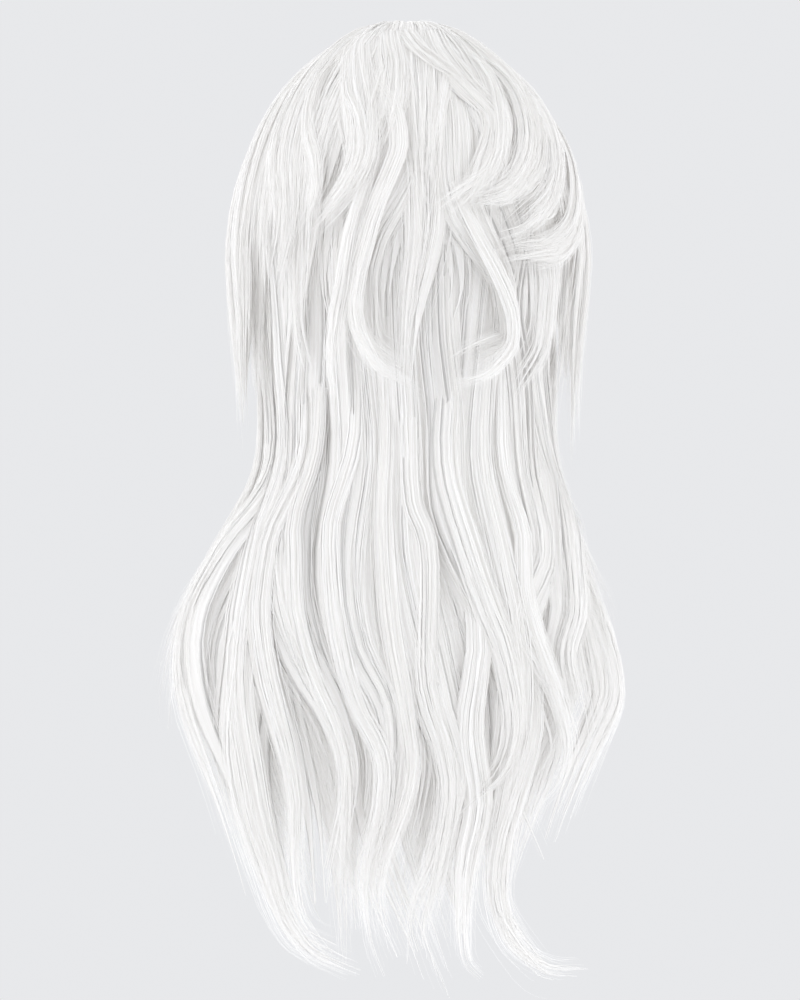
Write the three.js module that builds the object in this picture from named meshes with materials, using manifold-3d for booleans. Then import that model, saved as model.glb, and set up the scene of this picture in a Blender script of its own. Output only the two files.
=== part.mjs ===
// A long layered lace front wig, front hairline towards -Y, wearer's left towards +X, +Z up, millimetres.
// The origin is the point inside the cap where the crown of the head bears.
// The foundation is a net cap with a lace front and an edge band. The hair is sewn or tied to it in
// rows: each hair mesh is one row, a root strip on the cap with its locks fused to it.
import * as THREE from "three";
import { mergeVertices } from "three/addons/utils/BufferGeometryUtils.js";
import Module from "manifold-3d";

const wasm = await Module();
wasm.setup();

// Driving sizes of the cap, measured inside it: a 57 cm head
const CAP_HALF_WIDTH = 80;
const CAP_HALF_LENGTH = 101.5;
const CAP_RISE = 95; // from the widest level up to the crown
const CAP_FALL = 118; // the lower half's own vertical half axis
const CAP_WALL = 1.2;
const BAND_HEIGHT = 12;
const CLEARANCE = 0.4;

// Driving sizes of the hair, from the head's middle to the hair's outside
const HAIR_LENGTH = 597; // from the top of the hair down to the longest tip
const HAIR_TOP = 18; // above the origin
const HAIR_HALF_WIDTH = 111;
const HAIR_BACK = 130;
const HAIR_FRONT = 118;
const HAIR_WIDEST = 143; // the widest level, below the top of the hair
const ROOT_STRIP_HEIGHT = 8;
const ROOT_STRIP_THICKNESS = 2.2;
const ROOT_RISE = 30; // along a lock, until it lies in its own layer
const LOCK_WIDTH = 35; // the usual width of a lock, of which each lock has a share
const LOCK_THICKNESS = 6; // the most that a lock has
const STEP_ON_HEAD = 30; // between two sections of a lock
const STEP_BELOW = 70;

const QUARTER = Math.PI / 2;
const rad = THREE.MathUtils.degToRad;
const { lerp, clamp, smoothstep } = THREE.MathUtils;

// A place on the hair is { around, fall }. around is in degrees from the middle of the back, positive to
// the wearer's left, 180 at the forehead. fall is 0 at the crown, 1 at the widest level, and grows by 1
// for each FALL_UNIT below it, up to TIP_FALL at the longest tip.
const TIP_FALL = 3.27;
const FALL_UNIT = (HAIR_LENGTH - HAIR_WIDEST) / (TIP_FALL - 1);
const NAPE_FALL = 1.375; // level with the cap's edge at the nape
const NAPE_ANGLE = 140; // the cap's edge at the nape, in degrees from the crown

// The hair's outside and the neck side of it below the widest level, at even steps down to the tips.
// half, back, rim and front are shares of the hair's sizes, in_... of the cap's. rim is how far back the
// sides lie. lag is how much higher the neck side lies, as a share of the distance between the levels.
const BODY = {
  half: [1, 0.965, 0.92, 0.91, 1.1, 1.31, 1.4, 1.4, 1.4, 1.4, 1.4],
  back: [1, 0.97, 0.91, 0.86, 0.855, 0.88, 0.9, 0.91, 0.91, 0.9, 0.89],
  rim: [0, 0, 0.05, 0.12, 0.23, 0.31, 0.355, 0.385, 0.415, 0.445, 0.46],
  front: [1, 0.95, 0.89, 0.85, 0.82, 0.81, 0.81, 0.81, 0.81, 0.81, 0.81],
  in_half: [1, 1, 0.98, 0.95, 1.1, 1.42, 1.6, 1.66, 1.66, 1.66, 1.66],
  in_back: [1, 0.9, 0.64, 0.62, 0.74, 0.87, 0.93, 0.945, 0.95, 0.95, 0.95],
  in_rim: [0, 0, 0.02, 0.08, 0.17, 0.26, 0.32, 0.35, 0.38, 0.41, 0.43],
  in_front: [1, 0.96, 0.92, 0.9, 0.9, 0.9, 0.9, 0.9, 0.9, 0.9, 0.9],
  lag: [1, 0.53, 0.4, 0.13, 0, 0, 0, 0, 0, 0, 0],
};

// The layers of hair, inside to outside: shares of the way from the cap to the hair's outside, on the
// head and in the tail below it.
const LAYERS = {
  nape: { from: 0.02, to: 0.12, tail_from: 0.02, tail_to: 0.15 },
  low: { from: 0.16, to: 0.26, tail_from: 0.25, tail_to: 0.45 },
  side: { from: 0.33, to: 0.43, tail_from: 0.51, tail_to: 0.64 },
  mid: { from: 0.48, to: 0.59, tail_from: 0.76, tail_to: 0.97 },
  crown: { from: 0.65, to: 0.78, tail_from: 0.76, tail_to: 0.97 },
  front: { from: 0.62, to: 0.78, tail_from: 0.76, tail_to: 0.97 },
  top: { from: 0.85, to: 0.99, tail_from: 0.85, tail_to: 0.99 },
};
const TAIL_FROM = 1.49;
const TAIL_FULL = 1.9;
const ROUND_FROM = 0.2; // further down than this, a step aside starts to follow the level

// A smooth value between the values of a list whose values are evenly spaced.
function between(values, place) {
  const last = values.length - 1;
  const at = clamp(place, 0, last);
  const i = Math.min(Math.floor(at), last - 1);
  const [a, b, c, d] = [i - 1, i, i + 1, i + 2].map((k) => values[clamp(k, 0, last)]);
  const t = at - i;
  return 0.5 * (2 * b + (c - a) * t + (2 * a - 5 * b + 4 * c - d) * t * t + (3 * b - a - 3 * c + d) * t * t * t);
}

// One level of a rounded form: a half ellipse behind the rim and one in front of it.
function level(around, half, back, rim, front, z) {
  const side = Math.sin(rad(around));
  const rear = Math.cos(rad(around));
  return new THREE.Vector3(half * side, rim + (rear > 0 ? back - rim : front + rim) * rear, z);
}

// The cap's own form, grown outwards by a distance. angle is in degrees from the crown.
function capPoint(around, angle, grow) {
  const round = Math.sin(rad(angle));
  const height = Math.cos(rad(angle));
  const rise = (height > 0 ? CAP_RISE : CAP_FALL) + grow;
  return level(
    around,
    (CAP_HALF_WIDTH + grow) * round,
    (CAP_HALF_LENGTH + grow) * round,
    0,
    (CAP_HALF_LENGTH + grow) * round,
    rise * height - CAP_RISE,
  );
}

const capAngle = (fall) => (fall < 1 ? 90 * fall : 90 + ((NAPE_ANGLE - 90) * (fall - 1)) / (NAPE_FALL - 1));
const LEVELS = BODY.half.length - 1;
const levelPlace = (fall) => ((fall - 1) * FALL_UNIT * LEVELS) / (HAIR_LENGTH - HAIR_WIDEST);

function outsidePoint({ around, fall }) {
  const turn = Math.min(fall, 1) * QUARTER;
  const round = Math.sin(turn);
  const place = levelPlace(fall);
  const at = (column) => between(BODY[column], place);
  const z = HAIR_TOP - HAIR_WIDEST * (1 - Math.cos(turn)) - Math.max(fall - 1, 0) * FALL_UNIT;
  return level(
    around,
    HAIR_HALF_WIDTH * at("half") * round,
    HAIR_BACK * at("back") * round,
    HAIR_BACK * at("rim") * round,
    HAIR_FRONT * at("front") * round,
    z,
  );
}

function neckPoint({ around, fall }) {
  const seat = CAP_WALL + CLEARANCE;
  const onCap = capPoint(around, capAngle(fall), seat);
  if (fall <= 1) return onCap;
  const place = levelPlace(fall);
  const at = (column) => between(BODY[column], place);
  const lag = at("lag") * (HAIR_WIDEST - HAIR_TOP - CAP_RISE);
  const free = level(
    around,
    (CAP_HALF_WIDTH + seat) * at("in_half"),
    (CAP_HALF_LENGTH + seat) * at("in_back"),
    (CAP_HALF_LENGTH + seat) * at("in_rim"),
    (CAP_HALF_LENGTH + seat) * at("in_front"),
    HAIR_TOP - HAIR_WIDEST - (fall - 1) * FALL_UNIT + lag,
  );
  return onCap.lerp(free, smoothstep(fall, 1, NAPE_FALL));
}

// A flat chart of the hair, with the crown at its middle, on which routes are drawn and bent.
const heading = (around) => new THREE.Vector2(Math.sin(rad(around)), Math.cos(rad(around)));
const chart = ({ around, fall }) => heading(around).multiplyScalar(fall);
const unchart = (p) => ({ around: THREE.MathUtils.radToDeg(Math.atan2(p.x, p.y)), fall: p.length() });

// The chart's point that lies off another by a step: straight across near the crown, and along the level
// lower down.
function aside(p, step) {
  const { around, fall } = unchart(p);
  const out = p.clone().normalize();
  const along = new THREE.Vector2(out.y, -out.x);
  const turned = around + THREE.MathUtils.radToDeg(step.dot(along) / Math.max(fall, 1e-3));
  const level = chart({ around: turned, fall: fall + step.dot(out) });
  return p.clone().add(step).lerp(level, smoothstep(fall, ROUND_FROM, 1));
}

// A point of the hair: share is 0 on the cap or neck side and 1 on the outside. hug is 1 where the hair
// lies on the cap itself.
function hairPoint(place, share, hug) {
  const inside = neckPoint(place);
  if (hug > 0) inside.lerp(capPoint(place.around, capAngle(place.fall), CAP_WALL + CLEARANCE), hug);
  return inside.lerp(outsidePoint(place), share);
}

// A closed body through rings of points that turn about the way they follow. The first and last rings are
// closed from their first point.
function loft(rings) {
  const sides = rings[0].length;
  const last = (rings.length - 1) * sides;
  const faces = [];
  for (let ring = 0; ring < last; ring += sides)
    for (let s = 0; s < sides; s++) {
      const a = ring + s;
      const b = ring + ((s + 1) % sides);
      faces.push(a, b, b + sides, a, b + sides, a + sides);
    }
  for (let s = 1; s + 1 < sides; s++) faces.push(0, s + 1, s, last, last + s, last + s + 1);
  return solid(rings.flat(), faces);
}

function solid(points, faces) {
  const geometry = new THREE.BufferGeometry().setFromPoints(points).setIndex(faces);
  const merged = mergeVertices(geometry, 1e-4);
  const corners = merged.index.array;
  const kept = [];
  for (let i = 0; i < corners.length; i += 3) {
    const face = corners.slice(i, i + 3);
    if (new Set(face).size === 3) kept.push(...face);
  }
  const vertProperties = merged.attributes.position.array;
  return new wasm.Manifold(new wasm.Mesh({ numProp: 3, vertProperties, triVerts: new Uint32Array(kept) }));
}

// The corners of a lock's section: how far to the side, as a share of half its width, and how high
// between its inner face and its outer face.
const SECTION = [
  { side: 0, height: 0 },
  { side: 1, height: 0.4 },
  { side: 0.4, height: 1 },
  { side: -0.4, height: 1 },
  { side: -1, height: 0.4 },
];

const FINE = 20; // points for each stretch of a route
const FEWEST_STEPS = 4;
const LONG_STEPS_FROM = 1.6;
const LONG_STEPS_FULL = 2.2;
const CHART_STEP = 0.01;

// A strip of hair along a route on the chart. widthAt and layAt take the share of the route and the
// distance along it, and layAt gives the strip's inner and outer share and how far it hugs the cap.
function strip(route, widthAt, layAt, stepOnHead = STEP_ON_HEAD) {
  const line = new THREE.SplineCurve(route.map(chart));
  const fine = line.getPoints(FINE * route.length).map(unchart);
  const run = [{ distance: 0, steps: 0 }];
  for (let i = 1; i < fine.length; i++) {
    const piece = outsidePoint(fine[i]).distanceTo(outsidePoint(fine[i - 1]));
    const step = lerp(stepOnHead, STEP_BELOW, smoothstep(fine[i].fall, LONG_STEPS_FROM, LONG_STEPS_FULL));
    run.push({ distance: run[i - 1].distance + piece, steps: run[i - 1].steps + piece / step });
  }
  const { distance: length, steps: wanted } = run[run.length - 1];
  const steps = Math.max(FEWEST_STEPS, Math.round(wanted));
  const rings = [];
  for (let i = 0; i <= steps; i++) {
    const k = Math.min(run.findIndex((r) => r.steps >= (wanted * i) / steps - 1e-9), run.length - 1);
    const t = run[k].distance / length;
    const middle = chart(fine[k]);
    const lay = layAt(t, run[k].distance, fine[k]);
    const at = (p, height) => hairPoint(unchart(p), lerp(lay.inner, lay.outer, height), lay.hug);
    const here = at(middle, 0.5);
    const way = line.getTangent(k / (fine.length - 1)).multiplyScalar(CHART_STEP);
    const cross = new THREE.Vector2(-way.y, way.x);
    const forward = at(aside(middle, way), 0.5).sub(here);
    const across = at(aside(middle, cross), 0.5).sub(here);
    const slant = across.dot(forward) / forward.lengthSq();
    const half = widthAt(t) / 2 / across.addScaledVector(forward, -slant).length();
    const turn = cross.addScaledVector(way, -slant).multiplyScalar(half);
    rings.push(SECTION.map(({ side, height }) => at(aside(middle, turn.clone().multiplyScalar(side)), height)));
  }
  return loft(rings);
}

// How thick the hair is at a place, from the cap or neck to its outside.
const depthAt = (place, hug) => hairPoint(place, 0, hug).distanceTo(hairPoint(place, 1, hug));

// A lock of one layer: it leaves the root strip, rises into its layer, and tapers to its tip. flick is how
// far its tip turns outwards, as a share of the hair's depth.
const TAPER_FROM = 0.66;
const ROOT_WIDTH = 0.62;
const TIP_WIDTH = 0.24;
const TIP_THICKNESS = 0.25;
const TAPER_POWER = 1.8;
const FULL_WIDTH_AT = 0.4;
const FLICK_FROM = 0.75;
const ROOT_OUTER = 0.75; // how high in the root strip a lock's outer face starts
const ROOT_DEPTH = 0.5; // the share of the root strip that a lock's root fills
function lock(layer, { route, width, flick = 0 }) {
  const taper = (t) => Math.pow(clamp((t - TAPER_FROM) / (1 - TAPER_FROM), 0, 1), TAPER_POWER);
  const lay = (t, distance, place) => {
    const rise = smoothstep(distance, 0, ROOT_RISE);
    const tail = smoothstep(place.fall, TAIL_FROM, TAIL_FULL);
    const depth = depthAt(place, 1 - rise);
    const from = lerp(LAYERS[layer].from, LAYERS[layer].tail_from, tail);
    const to = lerp(LAYERS[layer].to, LAYERS[layer].tail_to, tail);
    const thick = Math.min((to - from) * depth, LOCK_THICKNESS) * lerp(1, TIP_THICKNESS, taper(t));
    const rooted = lerp((ROOT_STRIP_THICKNESS * ROOT_OUTER) / depth, to, rise);
    const outer = rooted + flick * smoothstep(t, FLICK_FROM, 1);
    const inner = outer - lerp(ROOT_STRIP_THICKNESS * ROOT_DEPTH, thick, rise) / depth;
    return { inner, outer, hug: 1 - rise };
  };
  const fullAt = (t) => width * lerp(ROOT_WIDTH, 1, smoothstep(t, 0, FULL_WIDTH_AT));
  const widthAt = (t) => LOCK_WIDTH * lerp(fullAt(t), TIP_WIDTH, taper(t));
  return strip(route, widthAt, lay);
}

// The strip on the cap that carries the roots of a row.
const ROOT_STRIP_STEP = 0.7; // between its sections, as a share of a lock's
function rootStrip(route) {
  const lay = (t, distance, place) => ({ inner: 0, outer: ROOT_STRIP_THICKNESS / depthAt(place, 1), hug: 1 });
  return strip(route, () => ROOT_STRIP_HEIGHT, lay, ROOT_STRIP_STEP * STEP_ON_HEAD);
}

const hairMaterial = new THREE.MeshStandardMaterial({ color: 0xededec, roughness: 0.45, metalness: 0 });
const lightHairMaterial = new THREE.MeshStandardMaterial({ color: 0xf3f3f2, roughness: 0.42, metalness: 0 });
const netMaterial = new THREE.MeshStandardMaterial({ color: 0xd9cdbf, roughness: 0.85, metalness: 0 });
const laceMaterial = new THREE.MeshStandardMaterial({ color: 0xe3d3c2, roughness: 0.8, metalness: 0 });
const bandMaterial = new THREE.MeshStandardMaterial({ color: 0xcfc2b4, roughness: 0.75, metalness: 0 });

const wig = new THREE.Group();

function add(name, body, material) {
  const { vertProperties, triVerts } = body.getMesh();
  const geometry = new THREE.BufferGeometry();
  geometry.setAttribute("position", new THREE.BufferAttribute(vertProperties, 3));
  geometry.setIndex(new THREE.BufferAttribute(triVerts, 1));
  geometry.computeVertexNormals();
  const mesh = new THREE.Mesh(geometry, material);
  mesh.name = name;
  wig.add(mesh);
}

// A body without the small pockets that its crossing locks seal in
const filled = (body) => wasm.Manifold.compose(body.decompose().filter((piece) => piece.volume() > 0));

// A row of hair: its root strip runs through the roots of its locks, in their order.
function hairRow(name, layer, locks, material = hairMaterial) {
  const roots = locks.map(({ route }) => route[0]);
  const bodies = [rootStrip(roots), ...locks.map((row) => lock(layer, row))];
  add(name, filled(wasm.Manifold.union(bodies)), material);
}

// The cap's edge and the lace's back edge, in degrees from the crown, every 20 degrees from the middle of
// the back round to the forehead.
const EDGES = {
  cap: [139, 138, 131, 118, 99, 97, 106, 82, 65, 58],
  lace: [90, 90, 90, 90, 90, 86, 77, 56, 42, 36],
};
const EDGE_STEP = 20;
const LACE_END = 108; // the lace reaches this far round from the middle of the back
const BAND_END = 106;
const capDegrees = (distance) => THREE.MathUtils.radToDeg(distance / CAP_HALF_LENGTH);
const edgeAt = (around) => between(EDGES.cap, Math.abs(around) / EDGE_STEP);
const laceAt = (around) => between(EDGES.lace, Math.abs(around) / EDGE_STEP);
const bandTopAt = (around) => edgeAt(around) - capDegrees(BAND_HEIGHT);
const NET_ROWS = 6;
const LACE_ROWS = 3;
const CAP_STATIONS = [0, 14, 28, 41, 54, 67, 80, 93, BAND_END, LACE_END, 119, 130, 143, 156, 168, 180];
const leftToRight = (stations) => [...stations].reverse().concat(stations.filter((s) => s > 0).map((s) => -s));

// A piece of the cap's wall between two edges, over stations that run from the wearer's left to the right.
// A ring closes on its first station.
function capShell({ stations, topAt, bottomAt, rows, ring = false }) {
  const points = [];
  for (const around of stations)
    for (const grow of [CAP_WALL, 0])
      for (let row = 0; row <= rows; row++)
        points.push(capPoint(around, lerp(topAt(around), bottomAt(around), row / rows), grow));
  const at = (s, skin, row) => ((s % stations.length) * 2 + skin) * (rows + 1) + row;
  const faces = [];
  const quad = (a, b, c, d) => faces.push(a, b, c, a, c, d);
  const spans = ring ? stations.length : stations.length - 1;
  for (let s = 0; s < spans; s++) {
    for (let row = 0; row < rows; row++) {
      quad(at(s, 0, row + 1), at(s + 1, 0, row + 1), at(s + 1, 0, row), at(s, 0, row));
      quad(at(s + 1, 1, row), at(s + 1, 1, row + 1), at(s, 1, row + 1), at(s, 1, row));
    }
    quad(at(s, 1, rows), at(s + 1, 1, rows), at(s + 1, 0, rows), at(s, 0, rows));
    quad(at(s, 0, 0), at(s + 1, 0, 0), at(s + 1, 1, 0), at(s, 1, 0));
  }
  for (let row = 0; row < rows && !ring; row++) {
    quad(at(0, 0, row), at(0, 1, row), at(0, 1, row + 1), at(0, 0, row + 1));
    quad(at(spans, 1, row), at(spans, 0, row), at(spans, 0, row + 1), at(spans, 1, row + 1));
  }
  return solid(points, faces);
}

const netFoot = (around) => (Math.abs(around) < LACE_END ? bandTopAt(around) : laceAt(around));
const netEdgeAt = (around) => netFoot(around) - capDegrees(CLEARANCE);
const wholeRound = leftToRight(CAP_STATIONS).filter((around) => around > -180);
const net = capShell({ stations: wholeRound, topAt: () => 0, bottomAt: netEdgeAt, rows: NET_ROWS, ring: true });
add("cap_net", net, netMaterial);

const laceStations = CAP_STATIONS.filter((around) => around >= LACE_END);
const frontRound = laceStations.map((around) => -around).concat([...laceStations].reverse().slice(1));
const lace = capShell({ stations: frontRound, topAt: laceAt, bottomAt: edgeAt, rows: LACE_ROWS });
add("lace_front", lace, laceMaterial);

const bandStations = leftToRight(CAP_STATIONS.filter((around) => around <= BAND_END));
const band = capShell({ stations: bandStations, topAt: bandTopAt, bottomAt: edgeAt, rows: 1 });
add("edge_band", band, bandMaterial);

// Rows under the outer hair hang in even waves: locks spread either side of a middle, drawn together
// towards their tips, the outer ones shorter.
const WAVE_FALL = 1.6;
const DRAWN_FROM = 2.1;
const DRAWN_FULL = 3;
const WAVE_SHIFT = 0.6; // from one lock's wave to the next one's, in radians
function hangingLocks({ count, middle, spread, root, tip, shorter, sway, drawn, width }) {
  return Array.from({ length: count }, (_, i) => {
    const aside = (2 * i) / (count - 1) - 1;
    const end = tip - shorter * aside * aside;
    const bends = Math.round((end - root) / (WAVE_FALL / 4));
    const route = Array.from({ length: bends + 1 }, (_, k) => {
      const fall = lerp(root, end, k / bends);
      const wave = Math.sin((2 * Math.PI * (fall - root)) / WAVE_FALL + WAVE_SHIFT * i);
      const free = smoothstep(fall, root, 2 * NAPE_FALL - root);
      const together = lerp(1, drawn, smoothstep(fall, DRAWN_FROM, DRAWN_FULL));
      return { around: (middle + spread * aside) * together + sway * wave * free, fall };
    });
    return { route, width };
  });
}

// The same locks with each place of their routes changed
const rerouted = (locks, change) => locks.map((row) => ({ ...row, route: row.route.map(change) }));
const table = (locks) => rerouted(locks, ([around, fall]) => ({ around, fall }));
const mirrored = (locks) => rerouted(locks, ({ around, fall }) => ({ around: -around, fall }));

hairRow("weft_nape", "nape", hangingLocks({
  count: 4, middle: 2, spread: 36, root: 1.24, tip: 3.2, shorter: 0.3, sway: 7, drawn: 0.75, width: 1.2,
}));
hairRow("weft_back_low", "low", hangingLocks({
  count: 7, middle: 0, spread: 59, root: 1.04, tip: 3.2, shorter: 0.4, sway: 8, drawn: 0.68, width: 1.25,
}));
const sideLocks = hangingLocks({
  count: 4, middle: 94, spread: 22, root: 0.86, tip: 2.5, shorter: 0.25, sway: 5, drawn: 0.85, width: 1,
});
hairRow("weft_side_left", "side", sideLocks);

// Below the neck the right side is carried further to the back than the left
const RIGHT_BACK = 0.5;
const CARRIED_FROM = 1.3;
const CARRIED_FULL = 2.2;
const carriedBack = ({ around, fall }) => {
  const share = lerp(1, RIGHT_BACK, smoothstep(fall, CARRIED_FROM, CARRIED_FULL));
  return { around: around * share, fall };
};
hairRow("weft_side_right", "side", rerouted(mirrored(sideLocks), carriedBack));

// The long outer locks of the back, in their own waves, from the wearer's right to the left
const LONG_LOCKS = table([
  {
    route: [
      [-74, 0.68], [-64, 1.1], [-60, 1.4], [-73, 1.7], [-54, 1.94], [-46, 2.1], [-39, 2.25],
      [-42, 2.49], [-39, 2.62],
    ],
    width: 1.1,
  },
  {
    route: [
      [-52, 0.68], [-46, 1], [-42, 1.25], [-50, 1.61], [-41, 1.92], [-28, 2.14], [-35, 2.36],
      [-38, 2.54], [-28, 2.72],
    ],
    width: 1.1,
  },
  {
    route: [
      [-32, 0.68], [-30, 1.25], [-27, 1.95], [-26, 2.42], [-21, 2.8], [-21, 3], [-31, 3.17],
      [-43, 3.2],
    ],
    width: 1.05, flick: 0.2,
  },
  {
    route: [
      [-13, 0.68], [-11, 1.25], [-15, 1.55], [-14, 1.8], [-19, 2.02], [-25, 2.3], [-22, 2.56],
      [-11, 2.7],
    ],
    width: 1, flick: 0.15,
  },
  {
    route: [
      [5, 0.68], [4, 1.25], [2, 1.6], [1, 1.95], [-6, 2.36], [-11, 2.6], [-7, 2.82], [-1, 3.05],
      [-7, TIP_FALL],
    ],
    width: 1,
  },
  {
    route: [
      [23, 0.68], [22, 1.25], [20, 1.6], [18, 1.94], [12, 2.2], [4, 2.42], [5, 2.7], [10, 2.92],
      [2, 3.23],
    ],
    width: 1.2,
  },
  {
    route: [
      [42, 0.68], [44, 1.25], [49, 1.6], [38, 1.94], [25, 2.22], [16, 2.42], [13, 2.62],
      [18, 2.92], [20, 3.08],
    ],
    width: 1.25,
  },
  {
    route: [
      [58, 0.68], [57, 1.25], [54, 1.75], [42, 2.2], [42, 2.56], [35, 2.84], [26, 3.08],
      [12, 3.18],
    ],
    width: 1.1,
  },
  {
    route: [
      [76, 0.68], [70, 1.05], [63, 1.35], [61, 1.7], [73, 1.97], [68, 2.22], [57, 2.45],
      [45, 2.7], [37, 2.95],
    ],
    width: 1.1,
  },
]);
hairRow("weft_back_high", "mid", LONG_LOCKS);

// The short layer over the crown: most of its locks turn in or out at their tips
const CROWN_LOCKS = table([
  { route: [[-84, 0.28], [-83, 0.6], [-80, 1], [-78, 1.3], [-72, 1.52]], width: 1.14 },
  { route: [[-48, 0.27], [-54, 0.66], [-56, 0.97], [-60, 1.15], [-56, 1.33], [-43, 1.46]], width: 1.09 },
  {
    route: [
      [-17, 0.26], [-20, 0.6], [-18, 0.88], [-24, 1.01], [-35, 1.16], [-35, 1.3], [-12, 1.41],
    ],
    width: 0.91, flick: 0.12,
  },
  { route: [[4, 0.26], [-3, 0.66], [-5, 1], [0, 1.25], [2, 1.42]], width: 1.03 },
  {
    route: [
      [26, 0.26], [10, 0.5], [2, 0.68], [6, 0.85], [15, 1.02], [17, 1.15], [12, 1.32],
      [-7, 1.45],
    ],
    width: 0.86, flick: 0.12,
  },
  { route: [[50, 0.27], [44, 0.66], [40, 1], [42, 1.25], [36, 1.46]], width: 1.09 },
  { route: [[84, 0.28], [77, 0.6], [68, 1], [70, 1.3], [66, 1.54]], width: 1.14 },
]);
hairRow("crown_layer", "crown", CROWN_LOCKS);

// The outer hair, rooted along the middle parting from the crown forwards. On the wearer's left it falls
// straight to flicked tips, on the right it sweeps back over the crown in arcs.
const LEFT_TOP_LOCKS = table([
  { route: [[22, 0.17], [11, 0.32], [6, 0.46], [6, 0.6], [10, 0.72]], width: 0.69 },
  {
    route: [
      [42, 0.14], [38, 0.3], [25, 0.48], [18, 0.62], [16, 0.77], [22, 0.88], [32, 0.97],
    ],
    width: 0.86,
  },
  { route: [[90, 0.055], [62, 0.3], [56, 0.5], [50, 0.72], [43, 0.94], [49, 1.13]], width: 1.09 },
  { route: [[162, 0.165], [84, 0.42], [70, 0.8], [69, 1.15], [73, 1.46]], width: 1.2, flick: 0.4 },
  { route: [[172, 0.27], [108, 0.5], [92, 0.85], [88, 1.2], [91, 1.49]], width: 1.2, flick: 0.4 },
  { route: [[174, 0.38], [130, 0.6], [110, 0.95], [104, 1.25], [103, 1.46]], width: 1.15, flick: 0.4 },
  { route: [[175, 0.48], [147, 0.68], [128, 0.95], [119, 1.2], [116, 1.4]], width: 1, flick: 0.3 },
]);
const RIGHT_TOP_LOCKS = table([
  {
    route: [
      [-32, 0.14], [-21, 0.34], [-27, 0.5], [-35, 0.62], [-30, 0.73], [-21, 0.84], [-12, 0.9],
    ],
    width: 0.69, flick: 0.1,
  },
  {
    route: [
      [-90, 0.055], [-66, 0.3], [-65, 0.46], [-57, 0.61], [-46, 0.76], [-32, 0.85], [-18, 0.88],
    ],
    width: 0.86, flick: 0.12,
  },
  {
    route: [
      [-162, 0.165], [-95, 0.34], [-80, 0.54], [-66, 0.72], [-50, 0.86], [-30, 0.95],
    ],
    width: 1, flick: 0.12,
  },
  {
    route: [
      [-172, 0.27], [-112, 0.48], [-86, 0.72], [-70, 0.9], [-52, 1.0], [-26, 1.02],
    ],
    width: 1.1, flick: 0.12,
  },
  {
    route: [
      [-174, 0.38], [-120, 0.58], [-94, 0.9], [-88, 1.2], [-88, 1.4], [-93, 1.52],
    ],
    width: 1.3, flick: 0.5,
  },
  { route: [[-175, 0.48], [-147, 0.68], [-124, 0.95], [-110, 1.2], [-106, 1.42]], width: 1.2, flick: 0.3 },
]);
hairRow("top_left", "top", LEFT_TOP_LOCKS, lightHairMaterial);
hairRow("top_right", "top", RIGHT_TOP_LOCKS, lightHairMaterial);

// The locks that frame the face, tied into the lace: longer on the left
const LEFT_FRAMING_LOCKS = table([
  { route: [[141, 0.8], [127, 1.02], [114, 1.3], [103, 1.65], [97, 2.05], [95, 2.45]], width: 0.97 },
  {
    route: [
      [155, 0.69], [140, 0.9], [127, 1.15], [116, 1.45], [109, 1.8], [108, 2.15],
    ],
    width: 0.91, flick: 0.3,
  },
  { route: [[168, 0.62], [153, 0.82], [140, 1.06], [132, 1.35], [133, 1.62]], width: 0.86, flick: 0.5 },
]);
const RIGHT_FRAMING_LOCKS = table([
  { route: [[-141, 0.8], [-127, 1.02], [-114, 1.3], [-103, 1.6], [-99, 1.85]], width: 0.97 },
  { route: [[-155, 0.69], [-140, 0.9], [-127, 1.15], [-116, 1.45], [-112, 1.7]], width: 0.91, flick: 0.3 },
  {
    route: [
      [-168, 0.62], [-153, 0.82], [-140, 1.06], [-132, 1.35], [-133, 1.55],
    ],
    width: 0.86, flick: 0.5,
  },
]);
hairRow("front_left", "front", LEFT_FRAMING_LOCKS, lightHairMaterial);
hairRow("front_right", "front", RIGHT_FRAMING_LOCKS, lightHairMaterial);

export default wig;
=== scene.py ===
import math
import random

import bpy
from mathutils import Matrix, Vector


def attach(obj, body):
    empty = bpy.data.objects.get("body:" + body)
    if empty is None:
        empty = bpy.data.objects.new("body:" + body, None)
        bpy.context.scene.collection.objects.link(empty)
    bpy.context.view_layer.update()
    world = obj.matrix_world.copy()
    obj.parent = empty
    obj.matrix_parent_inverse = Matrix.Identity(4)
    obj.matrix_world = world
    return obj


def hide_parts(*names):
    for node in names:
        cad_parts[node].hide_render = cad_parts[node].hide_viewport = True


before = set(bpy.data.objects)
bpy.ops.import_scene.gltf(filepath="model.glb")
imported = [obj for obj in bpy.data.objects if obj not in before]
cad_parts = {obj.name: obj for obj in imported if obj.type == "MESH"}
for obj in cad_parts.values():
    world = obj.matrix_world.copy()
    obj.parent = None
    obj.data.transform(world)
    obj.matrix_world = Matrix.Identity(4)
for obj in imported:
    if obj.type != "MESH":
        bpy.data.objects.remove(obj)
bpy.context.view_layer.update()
scene = bpy.context.scene

# Camera: square on to the back of the head, level with the middle of the hair, through a long lens.
CAMERA_PLACE = Vector((0.005, 2.3, -0.278))
FRAME_HEIGHT = 0.62
HAIR_PLANE = 0.04
SENSOR_HEIGHT = 24
camera_data = bpy.data.cameras.new("camera")
camera_data.sensor_fit = "VERTICAL"
camera_data.sensor_height = SENSOR_HEIGHT
camera_data.lens = SENSOR_HEIGHT * (CAMERA_PLACE.y - HAIR_PLANE) / FRAME_HEIGHT
camera = bpy.data.objects.new("camera", camera_data)
camera.location = CAMERA_PLACE
camera.rotation_euler = (math.radians(90), 0, math.radians(180))
scene.collection.objects.link(camera)
scene.camera = camera

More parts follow.
